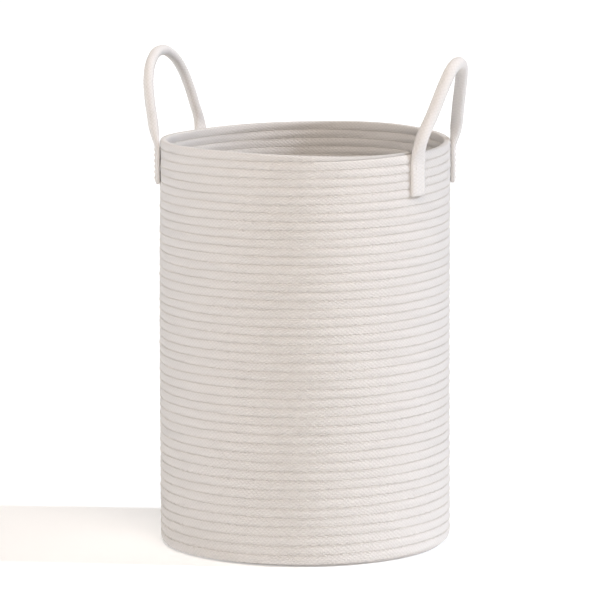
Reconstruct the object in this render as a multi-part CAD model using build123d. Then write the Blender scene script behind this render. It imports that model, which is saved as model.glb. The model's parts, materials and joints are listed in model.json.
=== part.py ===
"""Tall round laundry basket: one cotton rope coiled and sewn into a base and wall, with two rope handles.

Millimetres, +Z up. The origin is the middle of the underside, on the floor.
The handles stand on the -X (left) and +X (right) sides of the rim.
"""
from build123d import *
import math
import os

# ---- Coiled body ----
outer_diameter = 360.0
course_count = 46
bottom_course_height = 11.65
top_course_height = 10.35
rope_thickness = 9.0
groove_depth = 1.6
foot_radius = 6.0

# ---- Base coil ----
base_thickness = 9.0
base_course_width = 11.0
base_groove_width = 3.0
base_groove_depth = 1.5

# ---- Sewing thread along the coil ----
thread_size = 0.8
thread_clearance = 0.4

# ---- Handles ----
handle_rope_diameter = 13.0
pivot_height = 8.0
pivot_standoff = 6.5
left_leg_angle = 24.1
left_loop_height = 95.5
left_leg_slope = 11.0
left_lean = 13.3
right_leg_angle = 21.2
right_loop_height = 96.8
right_leg_slope = 27.4
right_lean = 15.6

# ---- Flattened handle ends, sewn to the wall ----
sewn_end_width = 20.0
sewn_end_thickness = 6.0
sewn_end_length = 55.0
sewn_end_edge = 2.0
shoulder_inner_rise = 1.0
shoulder_outer_drop = 6.0

# ---- Stitches that hold the handle ends ----
stitch_length = 5.0
stitch_width = 1.2
stitch_height = 0.8
stitch_pitch = 7.0
stitch_margin = 4.0

outer_radius = outer_diameter / 2
inner_radius = outer_radius - rope_thickness
mean_course_height = (bottom_course_height + top_course_height) / 2
wall_height = course_count * mean_course_height
pivot_z = wall_height + pivot_height
pivot_radius = outer_radius + pivot_standoff
handle_rope_radius = handle_rope_diameter / 2


def course_bottom(index):
    """Height of the groove under a course. The courses get a little lower towards the rim."""
    shrink = (bottom_course_height - top_course_height) / (course_count - 1)
    return index * bottom_course_height - shrink * index * (index - 1) / 2


def scallop(groove_radius, crest_radius, low, high):
    """Rounded face of one course between two grooves."""
    middle = (low + high) / 2
    return ThreePointArc((groove_radius, low), (crest_radius, middle), (groove_radius, high))


def wall_coil():
    """The turns of rope that stand on each other, with an open mouth and a rounded foot."""
    outer_groove = outer_radius - groove_depth
    inner_groove = inner_radius + groove_depth
    first = course_bottom(1)
    last = course_bottom(course_count - 1)
    round_top = wall_height - rope_thickness / 2
    edges = [
        Line((inner_radius, 0), (outer_radius - foot_radius, 0)),
        JernArc((outer_radius - foot_radius, 0), (1, 0), foot_radius, 90),
        TangentArc((outer_radius, foot_radius), (outer_groove, first), tangent=(0, 1)),
    ]
    for index in range(1, course_count - 1):
        edges.append(scallop(outer_groove, outer_radius, course_bottom(index), course_bottom(index + 1)))
        edges.append(scallop(inner_groove, inner_radius, course_bottom(index), course_bottom(index + 1)))
    edges += [
        TangentArc((outer_radius, round_top), (outer_groove, last), tangent=(0, -1)),
        JernArc((outer_radius, round_top), (0, 1), rope_thickness / 2, 180),
        TangentArc((inner_radius, round_top), (inner_groove, last), tangent=(0, -1)),
        TangentArc((inner_radius, foot_radius), (inner_groove, first), tangent=(0, 1)),
        Line((inner_radius, foot_radius), (inner_radius, 0)),
    ]
    profile = Plane.XZ * make_face(Wire(edges))
    return revolve(profile, Axis.Z)


def base_groove_radii():
    """Radii of the grooves between the flat turns, from the wall inwards."""
    count = math.floor((inner_radius - base_course_width / 4) / base_course_width)
    return [inner_radius - number * base_course_width for number in range(1, count + 1)]


def base_coil():
    """The flat spiral of rope that closes the bottom, as a disc with a groove between turns."""
    disc = Pos(0, 0, base_thickness / 2) * Cylinder(inner_radius, base_thickness)
    half = base_groove_width / 2
    for radius in base_groove_radii():
        lower = Polyline((radius - half, 0), (radius, base_groove_depth), (radius + half, 0), close=True)
        upper = Polyline(
            (radius - half, base_thickness),
            (radius, base_thickness - base_groove_depth),
            (radius + half, base_thickness),
            close=True,
        )
        for outline in (lower, upper):
            disc -= revolve(Plane.XZ * make_face(outline), Axis.Z)
    return disc


def ring(inner, outer, low, high):
    """Square-edged ring round the basket's axis."""
    height = high - low
    return Pos(0, 0, (low + high) / 2) * (Cylinder(outer, height) - Cylinder(inner, height))


def wall_seam_rings(groove_radius, direction):
    """One ring of thread in every groove of one face of the wall."""
    near = groove_radius + direction * thread_clearance
    far = near + direction * thread_size
    rings = []
    for index in range(1, course_count):
        height = course_bottom(index)
        rings.append(ring(min(near, far), max(near, far), height - thread_size / 2, height + thread_size / 2))
    return Compound(rings)


def base_seam_rings():
    """Thread in the grooves of the base, over and under it."""
    rings = []
    for radius in base_groove_radii():
        inner = radius - thread_size / 2
        outer = radius + thread_size / 2
        under = base_groove_depth - thread_clearance
        over = base_thickness - base_groove_depth + thread_clearance
        rings.append(ring(inner, outer, under - thread_size, under))
        rings.append(ring(inner, outer, over, over + thread_size))
    return Compound(rings)


def loop_outline(half_span, height, slope):
    """Centre line of a handle in its own plane: two legs that lean together, and one arc over them."""
    lean_in = math.radians(slope)
    spread = (1 - math.sin(lean_in)) / math.cos(lean_in)
    leg = (height - half_span * spread) / (math.cos(lean_in) - math.sin(lean_in) * spread)
    radius = (half_span - leg * math.sin(lean_in)) / math.cos(lean_in)
    knee = (half_span - leg * math.sin(lean_in), leg * math.cos(lean_in))
    first = Line((-half_span, 0), (-knee[0], knee[1]))
    arc = JernArc((-knee[0], knee[1]), (math.sin(lean_in), math.cos(lean_in)), radius, 2 * slope - 180)
    second = Line(knee, (half_span, 0))
    return Curve() + [first, arc, second]


def handle_loop(side, leg_angle, height, slope, lean):
    """Round rope loop above the rim. Its rounded ends are centred on the line that it folds about."""
    half_span = pivot_radius * math.sin(math.radians(leg_angle))
    chord_x = pivot_radius * math.cos(math.radians(leg_angle))
    path = loop_outline(half_span, height, slope)
    section = Plane(origin=path @ 0, z_dir=path % 0) * Circle(handle_rope_radius)
    rope = sweep(section, path=path)
    for end in (-half_span, half_span):
        rope += Pos(end, 0, 0) * Sphere(handle_rope_radius)
    lean_out = math.radians(lean)
    stance = Plane(
        origin=(side * chord_x, 0, pivot_z),
        x_dir=(0, 1, 0),
        z_dir=(math.cos(lean_out), 0, -side * math.sin(lean_out)),
    )
    return stance * rope


def sewn_end(azimuth):
    """Flattened rope end on the outside of the wall. Its shoulder slopes so that the loop can fold down."""
    face_radius = outer_radius + sewn_end_thickness
    bottom = wall_height - sewn_end_length
    outline = Polyline(
        (outer_radius, bottom),
        (face_radius, bottom),
        (face_radius, wall_height - shoulder_outer_drop),
        (outer_radius, wall_height + shoulder_inner_rise),
        close=True,
    )
    band = revolve(Plane.XZ * make_face(outline), Axis.Z)
    pad = band & Pos(outer_radius, 0, wall_height) * Box(outer_radius, sewn_end_width, 2 * wall_height)
    outer_face = pad.faces().sort_by(Axis.X)[-1]
    sides_and_bottom = outer_face.edges().sort_by(Axis.Z)[:-1]
    pad = fillet(sides_and_bottom, sewn_end_edge)
    return Rot(0, 0, azimuth) * pad


def stitch(azimuth, across, height, upright):
    """One visible stitch, flat on the outer face of a sewn end."""
    face_radius = outer_radius + sewn_end_thickness
    turn = azimuth + math.degrees(across / face_radius)
    size = (stitch_width, stitch_length) if upright else (stitch_length, stitch_width)
    block = Box(stitch_height, size[0], size[1])
    return Rot(0, 0, turn) * Pos(face_radius + stitch_height / 2, 0, height) * block


def end_stitches(azimuth):
    """A box of stitches: two upright rows joined by a row across the top and one across the bottom."""
    row_offset = sewn_end_width / 2 - stitch_margin
    lowest = wall_height - sewn_end_length + stitch_margin + stitch_length / 2
    highest = wall_height - shoulder_outer_drop - stitch_margin - stitch_length / 2
    rows = math.floor((highest - lowest) / stitch_pitch) + 1
    stitches = []
    for number in range(rows):
        for across in (-row_offset, row_offset):
            stitches.append(stitch(azimuth, across, lowest + number * stitch_pitch, True))
    for height in (lowest - stitch_length / 2, lowest + (rows - 1) * stitch_pitch + stitch_length / 2):
        stitches.append(stitch(azimuth, 0, height, False))
    return Compound(stitches)


def write(name, shape):
    """Save one sub-part under its own name."""
    shape.label = name
    export_step(shape, f"parts/{name}.step")


os.makedirs("parts", exist_ok=True)
write("wall_coil", wall_coil())
write("base_coil", base_coil())
write("outer_seam_thread", wall_seam_rings(outer_radius - groove_depth, 1))
write("inner_seam_thread", wall_seam_rings(inner_radius + groove_depth, -1))
write("base_seam_thread", base_seam_rings())
write("left_handle_loop", handle_loop(-1, left_leg_angle, left_loop_height, left_leg_slope, left_lean))
write("right_handle_loop", handle_loop(1, right_leg_angle, right_loop_height, right_leg_slope, right_lean))

leg_azimuths = {
    "left_front": 180 + left_leg_angle,
    "left_back": 180 - left_leg_angle,
    "right_front": -right_leg_angle,
    "right_back": right_leg_angle,
}
for place, azimuth in leg_azimuths.items():
    write(f"{place}_sewn_end", sewn_end(azimuth))
    write(f"{place}_stitches", end_stitches(azimuth))
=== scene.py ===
import json
import math
import bpy
import numpy as np
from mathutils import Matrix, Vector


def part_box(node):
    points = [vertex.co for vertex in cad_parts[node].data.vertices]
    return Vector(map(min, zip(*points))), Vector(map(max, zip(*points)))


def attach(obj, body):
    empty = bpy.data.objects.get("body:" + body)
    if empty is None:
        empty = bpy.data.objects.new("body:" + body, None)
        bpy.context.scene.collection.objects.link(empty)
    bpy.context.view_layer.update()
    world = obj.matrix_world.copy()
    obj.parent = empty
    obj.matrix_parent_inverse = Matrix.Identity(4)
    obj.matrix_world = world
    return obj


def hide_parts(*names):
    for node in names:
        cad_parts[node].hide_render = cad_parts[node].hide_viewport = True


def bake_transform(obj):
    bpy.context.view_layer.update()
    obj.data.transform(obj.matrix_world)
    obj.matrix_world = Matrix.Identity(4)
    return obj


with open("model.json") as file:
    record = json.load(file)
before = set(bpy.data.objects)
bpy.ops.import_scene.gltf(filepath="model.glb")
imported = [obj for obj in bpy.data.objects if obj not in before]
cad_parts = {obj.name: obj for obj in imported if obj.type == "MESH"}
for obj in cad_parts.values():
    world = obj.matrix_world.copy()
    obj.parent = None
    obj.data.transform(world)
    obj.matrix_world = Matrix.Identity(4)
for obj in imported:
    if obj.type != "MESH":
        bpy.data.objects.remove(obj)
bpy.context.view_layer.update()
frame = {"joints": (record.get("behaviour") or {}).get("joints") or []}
bpy.ops.object.select_all(action="DESELECT")


# ---- Floor, light and camera ----
# A plain white floor that runs out to the horizon. A cool lamp shines low from the right, broad soft lamps
# fill in from the front and the left, and one more lights the floor behind. The camera looks a little down.
bpy.context.scene.view_settings.view_transform = "Standard"
bpy.ops.mesh.primitive_plane_add(size=60)
floor = bpy.context.object
floor.name = "floor"
paint = bpy.data.materials.new("floor_white")
paint.use_nodes = True
paint.node_tree.nodes["Principled BSDF"].inputs["Base Color"].default_value = (0.93, 0.93, 0.93, 1)
paint.node_tree.nodes["Principled BSDF"].inputs["Roughness"].default_value = 0.9
paint.node_tree.nodes["Principled BSDF"].inputs["Emission Color"].default_value = (1, 1, 1, 1)
paint.node_tree.nodes["Principled BSDF"].inputs["Emission Strength"].default_value = 0.25
floor.data.materials.append(paint)

surround = bpy.data.worlds.new("studio_white")
surround.use_nodes = True
surround.node_tree.nodes["Background"].inputs["Color"].default_value = (1, 0.96, 0.92, 1)
surround.node_tree.nodes["Background"].inputs["Strength"].default_value = 0.05
bpy.context.scene.world = surround

view_azimuth = math.radians(20)
camera_distance = 7.434
camera_height = 1.519
camera_drop = math.radians(9.35)
camera_right = (math.cos(view_azimuth), math.sin(view_azimuth))
side_step = 0.0012
bpy.ops.object.camera_add(
    location=(
        camera_distance * math.sin(view_azimuth) + side_step * camera_right[0],
        -camera_distance * math.cos(view_azimuth) + side_step * camera_right[1],
        camera_height,
    ),
    rotation=(math.pi / 2 - camera_drop, 0, view_azimuth),
)
camera = bpy.context.object
camera.data.lens = 356.4
camera.data.sensor_width = 36
camera.data.clip_end = 100
bpy.context.scene.camera = camera

key_rise = math.radians(32.4)
key_turn = math.radians(84.6)
bpy.ops.object.light_add(type="SUN", rotation=(math.pi / 2 - key_rise, 0, view_azimuth + key_turn))
key_lamp = bpy.context.object
key_lamp.name = "key_lamp"
key_lamp.data.angle = math.radians(3)
key_lamp.data.color = (0.82, 0.87, 0.97)
key_lamp.data.energy = 2.3


lamp_distance = 3
lamp_aim_height = 0.35


def add_soft_lamp(name, turn, rise, size, power):
    """Square lamp that faces the basket, turned from the camera's side and raised, in degrees."""
    angle = view_azimuth - math.pi / 2 + math.radians(turn)
    lift = math.radians(rise)
    reach = lamp_distance * math.cos(lift)
    height = lamp_aim_height + lamp_distance * math.sin(lift)
    place = (reach * math.cos(angle), reach * math.sin(angle), height)
    tilt = (math.pi / 2 - lift, 0, angle + math.pi / 2)
    bpy.ops.object.light_add(type="AREA", location=place, rotation=tilt)
    lamp = bpy.context.object
    lamp.name = name
    lamp.data.size = size
    lamp.data.energy = power
    return lamp


left_lamp = add_soft_lamp("left_lamp", -95, 8, 2.0, 36)
left_lamp.data.color = (0.93, 0.93, 0.96)
front_lamp = add_soft_lamp("front_lamp", 0, 55, 2.0, 68)
front_lamp.data.color = (1, 0.9, 0.82)

behind = view_azimuth + math.pi / 2
back_reach = 4.5
back_height = 3
back_place = (back_reach * math.cos(behind), back_reach * math.sin(behind), back_height)
bpy.ops.object.light_add(type="AREA", location=back_place)
back_lamp = bpy.context.object
back_lamp.name = "back_lamp"
back_lamp.data.size = 4
back_lamp.data.energy = 92
back_lamp.data.color = (1, 0.95, 0.88)


# ---- Coil rope: the standing turns of the wall ----
# One long cotton rope, pressed a little flat, climbs in a helix. Each turn is sewn down on the one before.
# The turns get lower towards the rim, and the rope's end thins out over its last quarter turn.
wall_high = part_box("wall_coil")[1]
outer_radius = wall_high.x
wall_height = wall_high.z
course_count = 46
first_turn_height = 0.01165
turn_height = wall_height / course_count
rope_thickness = 0.009
rope_line = outer_radius - rope_thickness / 2
coil_turns = 45.48
coil_end_azimuth = math.radians(338.2)
coil_start_azimuth = coil_end_azimuth - 2 * math.pi * coil_turns
steps_per_turn = 100
end_taper_turns = 0.25
end_taper = 0.75
foot_tuck = 0.0022
rim_lean = 0.0030
rim_lean_turn = 0.17
rim_twist = 0.0015
rim_twist_turn = -0.7
level_foot_courses = 3
sideways_waves = (
    (0.0006, 2, 0.7, 2.1 / course_count),
    (0.0005, 3, 0, -5.0 / course_count),
    (0.0002, 5, 0, 4.7),
    (0.00015, 13, 0, 2.3),
)
upright_waves = ((0.0003, 3, 0, 1.3), (0.0002, 7, 0, -2.1))


def get_points(piece):
    """Vertex positions of a mesh, one row each."""
    flat = np.empty(len(piece.data.vertices) * 3)
    piece.data.vertices.foreach_get("co", flat)
    return flat.reshape(-1, 3)


def set_points(piece, points):
    """Put a mesh's vertices at new positions."""
    piece.data.vertices.foreach_set("co", points.astype(np.float32).ravel())
    piece.data.update()


def smooth_step(value):
    """0 below 0, 1 above 1, and an even S between."""
    share = np.clip(value, 0, 1)
    return share * share * (3 - 2 * share)


def course_height(course):
    """Real height of a count of courses from the floor. The lower courses are the higher ones."""
    shrink = 2 * (first_turn_height - turn_height) / (course_count - 1)
    return course * first_turn_height - shrink * course * (course - 1) / 2


def sum_waves(waves, azimuth, course):
    """Sum of small waves round the wall, each with a size, a count round, a start and a drift per course."""
    return sum(size * np.sin(count * azimuth + start + drift * course) for size, count, start, drift in waves)


def on_wall(azimuth, course, out):
    """Point of the wall, out from the rope's line at a height in courses, as unevenly as hands coil it."""
    tuck = foot_tuck * np.clip(1 - course, 0, 1) ** 2
    radius = rope_line + out + sum_waves(sideways_waves, azimuth, course) - tuck
    unlevel = rim_lean * np.cos(azimuth + rim_lean_turn) + rim_twist * np.sin(2 * azimuth + rim_twist_turn)
    uneven = sum_waves(upright_waves, azimuth, course) * np.clip(course / level_foot_courses, 0, 1)
    z = course_height(course) + unlevel * (course / course_count) ** 2 + uneven
    return np.stack([radius * np.cos(azimuth), radius * np.sin(azimuth), z], axis=-1)


def rope_section():
    """Outline of the pressed rope in halves of its width and height, flat where turns touch."""
    corner = np.array([(0, 1), (0.73, 1), (0.81, 0.9), (0.905, 0.66), (0.97, 0.36), (1, 0)])
    outer_side = np.concatenate([corner, corner[-2::-1] * (1, -1)])
    return np.concatenate([outer_side * (-1, 1), outer_side[-2:0:-1]])


def shares_round(outline):
    """Share of the way round a closed outline at each of its points, from 0 to 1."""
    closed = np.concatenate([outline, outline[:1]])
    lengths = np.hypot(*np.diff(closed, axis=0).T)
    return np.concatenate([[0], np.cumsum(lengths)]) / lengths.sum()


def add_rope(name, points_round, steps, turns_of_screw, rise, section_tilt=math.pi / 2):
    """A ring of points, extruded in steps along a helix or straight up, as a plain tube."""
    bpy.ops.mesh.primitive_circle_add(vertices=points_round, radius=1, rotation=(section_tilt, 0, 0))
    rope = bpy.context.object
    rope.name = name
    bpy.ops.object.transform_apply(location=True, rotation=True, scale=True)
    screw = rope.modifiers.new("run", "SCREW")
    screw.axis = "Z"
    screw.steps = steps
    screw.render_steps = steps
    screw.angle = 2 * math.pi * turns_of_screw
    screw.screw_offset = rise
    bpy.ops.object.modifier_apply(modifier="run")
    return rope


def mark_run(rope, shares, step_length):
    """UV map of a tube: metres along the rope, and the share of the way round it."""
    points_round = len(shares) - 1
    corners = np.empty(len(rope.data.loops), int)
    rope.data.loops.foreach_get("vertex_index", corners)
    corners = corners.reshape(-1, 4)
    along = corners // points_round
    around = corners % points_round
    wraps = around.max(axis=1) - around.min(axis=1) > points_round / 2
    around = np.where(wraps[:, None] & (around == 0), points_round, around)
    layer = rope.data.uv_layers.new(name="rope_run")
    layer.data.foreach_set("uv", np.stack([along * step_length, shares[around]], axis=-1).ravel())


def close_ends(piece):
    """Fill the open ends, point every face outwards and shade it smooth."""
    bpy.ops.object.select_all(action="DESELECT")
    bpy.context.view_layer.objects.active = piece
    piece.select_set(True)
    bpy.ops.object.mode_set(mode="EDIT")
    bpy.ops.mesh.select_mode(type="EDGE")
    bpy.ops.mesh.select_all(action="DESELECT")
    bpy.ops.mesh.select_non_manifold(extend=False)
    bpy.ops.mesh.edge_face_add()
    bpy.ops.mesh.select_all(action="SELECT")
    bpy.ops.mesh.normals_make_consistent(inside=False)
    bpy.ops.object.mode_set(mode="OBJECT")
    bpy.ops.object.shade_smooth()
    piece.select_set(False)


section = rope_section()
wall_steps = round(steps_per_turn * coil_turns)
wall = add_rope("coil_wall", len(section), wall_steps, coil_turns, turn_height * coil_turns)
turns = np.linspace(0, coil_turns, wall_steps + 1)[:, None]
thinning = 1 - end_taper * smooth_step((turns - coil_turns + end_taper_turns) / end_taper_turns)
out = section[:, 0] * rope_thickness / 2 * thinning ** 0.5
course = turns + (section[:, 1] + 1) / 2 * thinning
set_points(wall, on_wall(coil_start_azimuth + 2 * math.pi * turns, course, out).reshape(-1, 3))
section_shares = shares_round(section * (rope_thickness, turn_height))
mark_run(wall, section_shares, 2 * math.pi * rope_line / steps_per_turn)
close_ends(wall)

yarns_per_strand = 3
yarn_groove = 0.2
strand_dip = 0.45
braid_drift = 1.2
# The gap and strand levels set how far painted shade darkens the colour in the braid's gaps.
gap_painted_shade_level = 0.1
braid_painted_shade = 0.75
fibre_tone = 0.2
patch_tone = 0.3


def link_math(tree, operation, *values):
    """Math node on values or sockets."""
    node = tree.nodes.new("ShaderNodeMath")
    node.operation = operation
    for socket, value in zip(node.inputs, values):
        if isinstance(value, (int, float)):
            socket.default_value = value
        else:
            tree.links.new(value, socket)
    return node.outputs[0]


def braid_height(tree, run, cell, strands):
    """Height of a plaited cover, 0 in the gaps to 1 on a strand: two sets of strands pass over each other."""
    split = tree.nodes.new("ShaderNodeSeparateXYZ")
    tree.links.new(run, split.inputs[0])
    uneven = tree.nodes.new("ShaderNodeTexNoise")
    uneven.inputs["Scale"].default_value = 70
    uneven.inputs["Detail"].default_value = 1
    place = tree.nodes.new("ShaderNodeTexCoord")
    tree.links.new(place.outputs["Object"], uneven.inputs["Vector"])
    along = link_math(tree, "DIVIDE", split.outputs[0], cell)
    along = link_math(tree, "MULTIPLY_ADD", uneven.outputs["Fac"], braid_drift, along)
    around = link_math(tree, "MULTIPLY", split.outputs[1], strands)
    rising = link_math(tree, "ADD", along, around)
    falling = link_math(tree, "SUBTRACT", along, around)
    ridges = []
    yarns = []
    for run_across in (rising, falling):
        share = link_math(tree, "FRACT", run_across)
        ridges.append(link_math(tree, "SINE", link_math(tree, "MULTIPLY", share, math.pi)))
        yarn = link_math(tree, "SINE", link_math(tree, "MULTIPLY", share, math.pi * yarns_per_strand))
        yarn = link_math(tree, "ABSOLUTE", yarn)
        yarns.append(link_math(tree, "MULTIPLY_ADD", yarn, yarn_groove, 1 - yarn_groove))
    cells = link_math(tree, "ADD", link_math(tree, "FLOOR", rising), link_math(tree, "FLOOR", falling))
    over = link_math(tree, "MULTIPLY", link_math(tree, "FRACT", link_math(tree, "MULTIPLY", cells, 0.5)), 2)
    strand_heights = []
    for across, lengthwise, yarn in ((ridges[0], ridges[1], yarns[0]), (ridges[1], ridges[0], yarns[1])):
        rounded = link_math(tree, "POWER", link_math(tree, "ABSOLUTE", across), 0.5)
        crown = link_math(tree, "MULTIPLY_ADD", lengthwise, strand_dip, 1 - strand_dip)
        strand_heights.append(link_math(tree, "MULTIPLY", link_math(tree, "MULTIPLY", rounded, crown), yarn))
    mix = tree.nodes.new("ShaderNodeMix")
    tree.links.new(over, mix.inputs["Factor"])
    tree.links.new(strand_heights[0], mix.inputs["A"])
    tree.links.new(strand_heights[1], mix.inputs["B"])
    return mix.outputs["Result"]


def cotton(name, light, dark, cell, strands, relief):
    """Matt cotton with a plaited surface, fine fibres, painted shade in the braid's gaps and a faint uneven
    tone.
    """
    material = bpy.data.materials.new(name)
    material.use_nodes = True
    tree = material.node_tree
    shader = tree.nodes["Principled BSDF"]
    run = tree.nodes.new("ShaderNodeUVMap")
    run.uv_map = "rope_run"
    place = tree.nodes.new("ShaderNodeTexCoord")
    height = braid_height(tree, run.outputs[0], cell, strands)

    fibres = tree.nodes.new("ShaderNodeTexNoise")
    fibres.inputs["Scale"].default_value = 900
    fibres.inputs["Detail"].default_value = 3
    tree.links.new(place.outputs["Object"], fibres.inputs["Vector"])
    tone = tree.nodes.new("ShaderNodeTexNoise")
    tone.inputs["Scale"].default_value = 9
    tone.inputs["Detail"].default_value = 2
    tree.links.new(place.outputs["Object"], tone.inputs["Vector"])

    # Painted shade: the colour darkens where the braid's height is low, in the gaps, the yarn grooves and
    # where a strand dips under.
    shade = link_math(tree, "MULTIPLY_ADD", height, braid_painted_shade, gap_painted_shade_level)
    shade = link_math(tree, "MULTIPLY_ADD", fibres.outputs["Fac"], fibre_tone, shade)
    shade = link_math(tree, "MULTIPLY_ADD", tone.outputs["Fac"], patch_tone, shade)
    ramp = tree.nodes.new("ShaderNodeValToRGB")
    ramp.color_ramp.elements[0].position = 0.15
    ramp.color_ramp.elements[0].color = (*dark, 1)
    ramp.color_ramp.elements[1].position = 0.95
    ramp.color_ramp.elements[1].color = (*light, 1)
    tree.links.new(shade, ramp.inputs["Fac"])
    tree.links.new(ramp.outputs["Color"], shader.inputs["Base Color"])

    strand_bump = tree.nodes.new("ShaderNodeBump")
    strand_bump.inputs["Strength"].default_value = 1
    strand_bump.inputs["Distance"].default_value = relief
    tree.links.new(height, strand_bump.inputs["Height"])
    fibre_bump = tree.nodes.new("ShaderNodeBump")
    fibre_bump.inputs["Strength"].default_value = 0.6
    fibre_bump.inputs["Distance"].default_value = 0.00025
    tree.links.new(fibres.outputs["Fac"], fibre_bump.inputs["Height"])
    tree.links.new(strand_bump.outputs["Normal"], fibre_bump.inputs["Normal"])
    tree.links.new(fibre_bump.outputs["Normal"], shader.inputs["Normal"])

    shader.inputs["Roughness"].default_value = 0.92
    shader.inputs["Specular IOR Level"].default_value = 0.2
    shader.inputs["Sheen Weight"].default_value = 0.15
    shader.inputs["Sheen Roughness"].default_value = 0.5
    return material


coil_light = (0.81, 0.78, 0.75)
coil_dark = (0.69, 0.66, 0.625)
coil_cell = 0.0055
coil_strands = 8
coil_relief = 0.0009
coil_cotton = cotton("coil_rope_cotton", coil_light, coil_dark, coil_cell, coil_strands, coil_relief)
wall.data.materials.append(coil_cotton)
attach(wall, "basket")
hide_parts("wall_coil")


# ---- Coil rope: the flat turns of the base ----
# The same rope, wound flat from the middle outwards. In its outermost turn it tips up on edge and runs on
# under the first turn of the wall.
base_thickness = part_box("base_coil")[1].z
flat_turn_width = 0.011
flat_turns = 15.6
flat_steps_per_turn = 96
flat_mean_step = 0.0055
middle_radius = 0.0002


def flat_radius(turn):
    """Radius of the flat rope's line, counted in turns back from where it meets the wall."""
    return rope_line - foot_tuck - flat_turn_width * turn


base_steps = round(flat_steps_per_turn * flat_turns)
base = add_rope("coil_base", len(section), base_steps, flat_turns, flat_turn_width * flat_turns)
turns_left = np.linspace(flat_turns, 0, base_steps + 1)[:, None]
tipping = smooth_step(1 - turns_left)
half_width = (flat_turn_width + (rope_thickness - flat_turn_width) * tipping) / 2
half_height = (base_thickness + (first_turn_height - base_thickness) * tipping) / 2
lying = np.roll(section, len(section) // 4, axis=0)
lying = np.stack([-lying[:, 1], lying[:, 0]], axis=-1)
azimuth = coil_start_azimuth - 2 * math.pi * turns_left
out = lying[:, 0] + (section[:, 0] - lying[:, 0]) * tipping
up = lying[:, 1] + (section[:, 1] - lying[:, 1]) * tipping
radius = np.maximum(flat_radius(turns_left) + out * half_width, middle_radius)
height = half_height + up * half_height
points = np.stack([radius * np.cos(azimuth), radius * np.sin(azimuth), height], axis=-1)
set_points(base, points.reshape(-1, 3))
mark_run(base, section_shares, flat_mean_step)
close_ends(base)
base.data.materials.append(coil_cotton)
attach(base, "basket")
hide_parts("base_coil")


# ---- Sewing thread: the zigzag seam between the turns ----
# A machine lock stitch in heavy cotton thread. It crosses every groove to and fro, outside and inside the
# wall and over and under the base, and dips into the rope at each needle hole.
thread_radius = 0.0006
zigzag_length = 0.0113
zigzag_reach = 0.0027
hole_depth = 0.0009
crossing_lift = -0.0002
first_sewn_turn = 1.2


def model_zigzag():
    """One zig and one zag: x runs along the seam, y stands out of the rope and z crosses the groove."""
    quarter = zigzag_length / 4
    bpy.ops.mesh.primitive_circle_add(
        vertices=4,
        radius=thread_radius,
        fill_type="NGON",
        location=(0, -hole_depth, -zigzag_reach),
        rotation=(0, math.pi / 2, 0),
    )
    unit = bpy.context.object
    bpy.ops.object.transform_apply(location=True, rotation=True, scale=True)
    bpy.ops.object.mode_set(mode="EDIT")
    bpy.ops.mesh.select_all(action="SELECT")
    rise = hole_depth + crossing_lift
    for lift, across in ((rise, 1), (-rise, 1), (rise, -1), (-rise, -1)):
        stretch = (quarter, lift, across * zigzag_reach)
        bpy.ops.mesh.extrude_region_move(TRANSFORM_OT_translate={"value": stretch})
    bpy.ops.object.mode_set(mode="OBJECT")
    return unit


def repeat_stitch(name, unit, places):
    """One mesh of many copies of a stitch. places holds a block of vertex positions for each copy."""
    count, points_each = places.shape[:2]
    faces = [tuple(face.vertices) for face in unit.data.polygons]
    copies = []
    for number in range(count):
        copies += [tuple(point + points_each * number for point in face) for face in faces]
    mesh = bpy.data.meshes.new(name)
    mesh.from_pydata(places.reshape(-1, 3).tolist(), [], copies)
    piece = bpy.data.objects.new(name, mesh)
    bpy.context.collection.objects.link(piece)
    bpy.ops.object.select_all(action="DESELECT")
    bpy.context.view_layer.objects.active = piece
    piece.select_set(True)
    bpy.ops.object.mode_set(mode="EDIT")
    bpy.ops.mesh.select_all(action="SELECT")
    bpy.ops.mesh.normals_make_consistent(inside=False)
    bpy.ops.object.mode_set(mode="OBJECT")
    bpy.ops.object.shade_smooth()
    piece.select_set(False)
    return piece


def spun_thread():
    """Smooth off-white cotton thread with fine fibre noise in its tone and surface."""
    material = bpy.data.materials.new("sewing_thread_cotton")
    material.use_nodes = True
    tree = material.node_tree
    shader = tree.nodes["Principled BSDF"]
    place = tree.nodes.new("ShaderNodeTexCoord")
    fibres = tree.nodes.new("ShaderNodeTexNoise")
    fibres.inputs["Scale"].default_value = 1400
    tree.links.new(place.outputs["Object"], fibres.inputs["Vector"])
    ramp = tree.nodes.new("ShaderNodeValToRGB")
    ramp.color_ramp.elements[0].color = (0.74, 0.71, 0.67, 1)
    ramp.color_ramp.elements[1].color = (0.88, 0.85, 0.81, 1)
    tree.links.new(fibres.outputs["Fac"], ramp.inputs["Fac"])
    tree.links.new(ramp.outputs["Color"], shader.inputs["Base Color"])
    bump = tree.nodes.new("ShaderNodeBump")
    bump.inputs["Distance"].default_value = 0.0002
    tree.links.new(fibres.outputs["Fac"], bump.inputs["Height"])
    tree.links.new(bump.outputs["Normal"], shader.inputs["Normal"])
    shader.inputs["Roughness"].default_value = 0.75
    shader.inputs["Sheen Weight"].default_value = 0.15
    return material


thread_cotton = spun_thread()
zigzag = model_zigzag()
stitch = get_points(zigzag)
per_turn = round(2 * math.pi * outer_radius / zigzag_length)
seam_turns = np.arange(0, coil_turns - 1 - end_taper_turns / 2, 1 / per_turn)[:, None]
turn_share = seam_turns + stitch[:, 0] / zigzag_length / per_turn
for name, node, side in (("seam_outside", "outer_seam_thread", 1), ("seam_inside", "inner_seam_thread", -1)):
    out = side * (rope_thickness / 2 + stitch[:, 1])
    stitch_course = 1 + turn_share + stitch[:, 2] / turn_height
    places = on_wall(coil_start_azimuth + 2 * math.pi * turn_share, stitch_course, out)
    seam = repeat_stitch(name, zigzag, places)
    seam.data.materials.append(thread_cotton)
    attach(seam, "basket")
    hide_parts(node)

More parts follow.
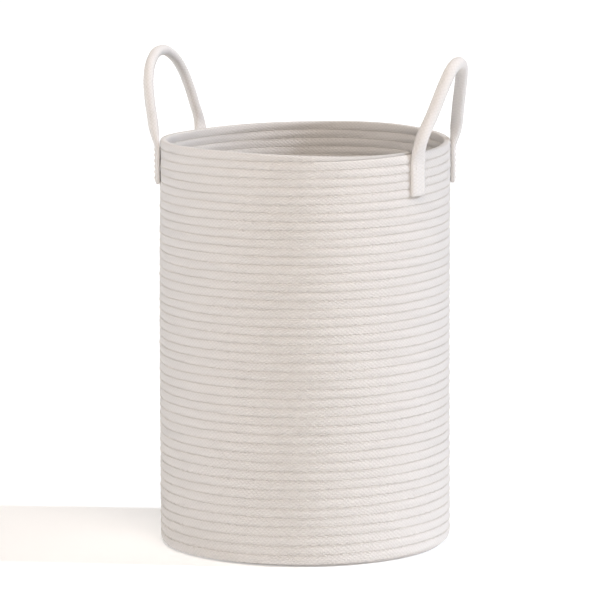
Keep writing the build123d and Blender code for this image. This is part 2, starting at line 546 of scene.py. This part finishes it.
run_left = []
turn = first_sewn_turn
while turn < flat_turns - 1:
    run_left.append(turn)
    turn += zigzag_length / (2 * math.pi * flat_radius(turn))
run_left = np.array(run_left)[:, None]
stitch_turn = run_left + stitch[:, 0] / (2 * math.pi * flat_radius(run_left))
radius = flat_radius(stitch_turn) + flat_turn_width / 2 + stitch[:, 2]
azimuth = coil_start_azimuth - 2 * math.pi * stitch_turn
level = np.broadcast_to(stitch[:, 1], radius.shape)
over = np.stack([radius * np.cos(azimuth), radius * np.sin(azimuth), base_thickness + level], axis=-1)
under = np.stack([radius * np.cos(azimuth), radius * np.sin(azimuth), thread_radius - level], axis=-1)
base_seam = repeat_stitch("seam_base", zigzag, np.concatenate([over, under]))
base_seam.data.materials.append(thread_cotton)
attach(base_seam, "basket")
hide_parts("base_seam_thread")
bpy.data.objects.remove(zigzag)


# ---- Handles ----
# Each handle is one length of thick braided cotton rope. It stands up as a loop over the rim, and its two
# ends are pressed flat and sewn to the outside of the wall, where they stay when the loop is folded.
handle_rope_radius = 0.0065
handle_strands = 8
handle_cell = 0.0047
handle_relief = 0.0005
handle_points_round = 64
handle_step = 0.0006
sewn_end_length = 0.055
sewn_end_thickness = 0.006
sewn_end_width = 0.020
squareness = 3.2
press_start = wall_height + 0.018
press_full = wall_height - 0.014
tip_length = 0.004
tip_thinning = 0.35
tip_narrowing = 0.06
arc_parts = 6
wall_points = (sewn_end_length, 0.030, 0.012)
handles = {
    "left": {"side": -1, "slope": 11.0, "lean": 13.3, "girth": 1.0},
    "right": {"side": 1, "slope": 26.0, "lean": 15.0, "girth": 1.2},
}


def handle_route(pivot, half_span, rise, side, slope, lean):
    """Points along the rope: up the outside of the wall, over the loop, and down the wall again."""
    lean_in = math.radians(slope)
    lean_out = math.radians(lean)
    spread = (1 - math.sin(lean_in)) / math.cos(lean_in)
    leg = (rise - half_span * spread) / (math.cos(lean_in) - math.sin(lean_in) * spread)
    arc_radius = (half_span - leg * math.sin(lean_in)) / math.cos(lean_in)
    arc_height = leg * math.cos(lean_in) - arc_radius * math.sin(lean_in)
    loop = [(half_span, 0), (half_span - leg * math.sin(lean_in) / 2, leg * math.cos(lean_in) / 2)]
    for part in range(arc_parts + 1):
        turn = lean_in + (math.pi - 2 * lean_in) * part / arc_parts
        loop.append((arc_radius * math.cos(turn), arc_height + arc_radius * math.sin(turn)))
    loop += [(-across, up) for across, up in loop[1::-1]]
    over_rim = []
    for across, up in loop:
        x = pivot[0] + side * up * math.sin(lean_out)
        over_rim.append((x, across, pivot[2] + up * math.cos(lean_out)))
    leg_angle = math.atan2(half_span, abs(pivot[0]))
    radius = outer_radius + sewn_end_thickness / 2
    foot = (side * radius * math.cos(leg_angle), radius * math.sin(leg_angle))
    up_wall = [(*foot, wall_height - drop) for drop in wall_points]
    return up_wall + over_rim + [(x, -y, z) for x, y, z in up_wall[::-1]]


def add_route(points):
    """Smooth curve through the points."""
    curve = bpy.data.curves.new("handle_route", "CURVE")
    curve.dimensions = "3D"
    spline = curve.splines.new("BEZIER")
    spline.bezier_points.add(len(points) - 1)
    for point, place in zip(spline.bezier_points, points):
        point.co = place
        point.handle_left_type = "AUTO"
        point.handle_right_type = "AUTO"
    spline.resolution_u = 24
    route = bpy.data.objects.new("handle_route", curve)
    bpy.context.collection.objects.link(route)
    return route


def braid_relief(along, angle):
    """How far a plaited rope stands out, 0 in the gaps to 1 on a strand, at a length and an angle."""
    rising = along / handle_cell + angle / (2 * math.pi) * handle_strands
    falling = along / handle_cell - angle / (2 * math.pi) * handle_strands
    across = np.sin(math.pi * (rising % 1))
    lengthwise = np.sin(math.pi * (falling % 1))
    over = (np.floor(rising) + np.floor(falling)) % 2 == 0
    upper = np.sqrt(across) * (1 - strand_dip + strand_dip * lengthwise)
    lower = np.sqrt(lengthwise) * (1 - strand_dip + strand_dip * across)
    return np.where(over, upper, lower)


def press_on_wall(points):
    """Flatten the rope's two ends against the wall, and leave the loop round."""
    centre = points.mean(axis=1, keepdims=True)
    offset = points - centre
    outward = centre * (1, 1, 0)
    outward /= np.linalg.norm(outward, axis=-1, keepdims=True)
    sideways = np.stack([-outward[..., 1], outward[..., 0], outward[..., 2]], axis=-1)
    out = (offset * outward).sum(axis=-1, keepdims=True)
    across = (offset * sideways).sum(axis=-1, keepdims=True)
    rest = offset - out * outward - across * sideways
    pressed = smooth_step((press_start - centre[..., 2:]) / (press_start - press_full))
    bulge = (np.abs(out) ** squareness + np.abs(across) ** squareness) ** (-1 / squareness)
    bulge = bulge * np.hypot(out, across)
    flat_across = across / handle_rope_radius * bulge * sewn_end_width / 2
    flat_out = out / handle_rope_radius * bulge * sewn_end_thickness / 2
    flat_out = flat_out - flat_across ** 2 / (2 * outer_radius)
    tip = np.clip((wall_height - sewn_end_length + tip_length - centre[..., 2:]) / tip_length, 0, 1)
    flat_out = flat_out * (1 - tip_thinning * tip ** 2)
    flat_across = flat_across * (1 - tip_narrowing * tip ** 2)
    out = out + (flat_out - out) * pressed
    across = across + (flat_across - across) * pressed
    return centre + out * outward + across * sideways + rest


handle_light = (0.76, 0.735, 0.71)
handle_dark = (0.64, 0.615, 0.59)
yarn_relief = 0.0002
handle_cotton = cotton(
    "handle_rope_cotton", handle_light, handle_dark, handle_cell, handle_strands, yarn_relief
)
for which, shape in handles.items():
    joint = next(j for j in frame["joints"] if j["name"] == f"{which}_handle_fold")
    pivot = joint["pos_m"]
    loop_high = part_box(f"{which}_handle_loop")[1]
    half_span = loop_high.y - handle_rope_radius
    rise = (loop_high.z - handle_rope_radius - pivot[2]) / math.cos(math.radians(shape["lean"]))
    route = add_route(handle_route(pivot, half_span, rise, shape["side"], shape["slope"], shape["lean"]))
    length = route.data.splines[0].calc_length()
    steps = round(length / handle_step)
    rope = add_rope(f"handle_{which}", handle_points_round, steps, 0, length, 0)
    straight = get_points(rope)
    angle = np.arctan2(straight[:, 1], straight[:, 0])
    radius = handle_rope_radius * shape["girth"] - handle_relief * (1 - braid_relief(straight[:, 2], angle))
    set_points(rope, np.stack([radius * np.cos(angle), radius * np.sin(angle), straight[:, 2]], axis=-1))
    follow = rope.modifiers.new("follow_route", "CURVE")
    follow.object = route
    follow.deform_axis = "POS_Z"
    bpy.ops.object.modifier_apply(modifier="follow_route")
    set_points(rope, press_on_wall(get_points(rope).reshape(steps + 1, -1, 3)).reshape(-1, 3))
    mark_run(rope, np.linspace(0, 1, handle_points_round + 1), handle_step)
    close_ends(rope)
    rope.data.materials.append(handle_cotton)
    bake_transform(rope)
    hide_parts(f"{which}_handle_loop", f"{which}_front_sewn_end", f"{which}_back_sewn_end")
    bpy.data.objects.remove(route)


# ---- Stitches through the sewn ends ----
# Short bars of heavy thread hold each flattened end: an upright row near both its edges, joined across the
# top and the bottom. Each bar goes down into the rope at its two needle holes.
bar_length = 0.005
bar_radius = 0.0006
bar_pitch = 0.007
bar_margin = 0.004
bar_stations = 8
shoulder_drop = 0.006


def model_bar():
    """One stitch along z, arched out of the rope along y."""
    bpy.ops.mesh.primitive_circle_add(
        vertices=8,
        radius=bar_radius,
        fill_type="NGON",
        location=(0, 0, -bar_length / 2),
    )
    bar = bpy.context.object
    bpy.ops.object.transform_apply(location=True, rotation=True, scale=True)
    bpy.ops.object.mode_set(mode="EDIT")
    bpy.ops.mesh.select_all(action="SELECT")
    for station in range(bar_stations):
        bpy.ops.mesh.extrude_region_move(TRANSFORM_OT_translate={"value": (0, 0, bar_length / bar_stations)})
    bpy.ops.object.mode_set(mode="OBJECT")
    points = get_points(bar)
    points[:, 1] += bar_radius / 2 - 2 * bar_radius * np.abs(2 * points[:, 2] / bar_length) ** 4
    set_points(bar, points)
    return bar


bar = model_bar()
bar_points = get_points(bar)
row_offset = sewn_end_width / 2 - bar_margin
lowest = wall_height - sewn_end_length + bar_margin + bar_length / 2
highest = wall_height - shoulder_drop - bar_margin - bar_length / 2
rows = int((highest - lowest) / bar_pitch) + 1
stitch_places = []
for number in range(rows):
    for across in (-row_offset, row_offset):
        stitch_places.append((across, lowest + number * bar_pitch, True))
for height in (lowest - bar_length / 2, lowest + (rows - 1) * bar_pitch + bar_length / 2):
    stitch_places.append((0, height, False))
for which, shape in handles.items():
    pivot = next(j for j in frame["joints"] if j["name"] == f"{which}_handle_fold")["pos_m"]
    half_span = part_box(f"{which}_handle_loop")[1].y - handle_rope_radius
    leg_angle = math.atan2(half_span, abs(pivot[0]))
    for end, y_side in (("front", -1), ("back", 1)):
        azimuth = math.atan2(y_side * math.sin(leg_angle), shape["side"] * math.cos(leg_angle))
        copies = []
        for across, height, upright in stitch_places:
            sideways = bar_points[:, 0] if upright else bar_points[:, 2]
            up = bar_points[:, 2] if upright else bar_points[:, 0]
            radius = outer_radius + sewn_end_thickness + bar_points[:, 1]
            turn = azimuth + (across + sideways) / radius
            copies.append(np.stack([radius * np.cos(turn), radius * np.sin(turn), height + up], axis=-1))
        group = repeat_stitch(f"{which}_{end}_thread_bars", bar, np.array(copies))
        group.data.materials.append(thread_cotton)
        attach(group, "basket")
        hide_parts(f"{which}_{end}_stitches")
bpy.data.objects.remove(bar)
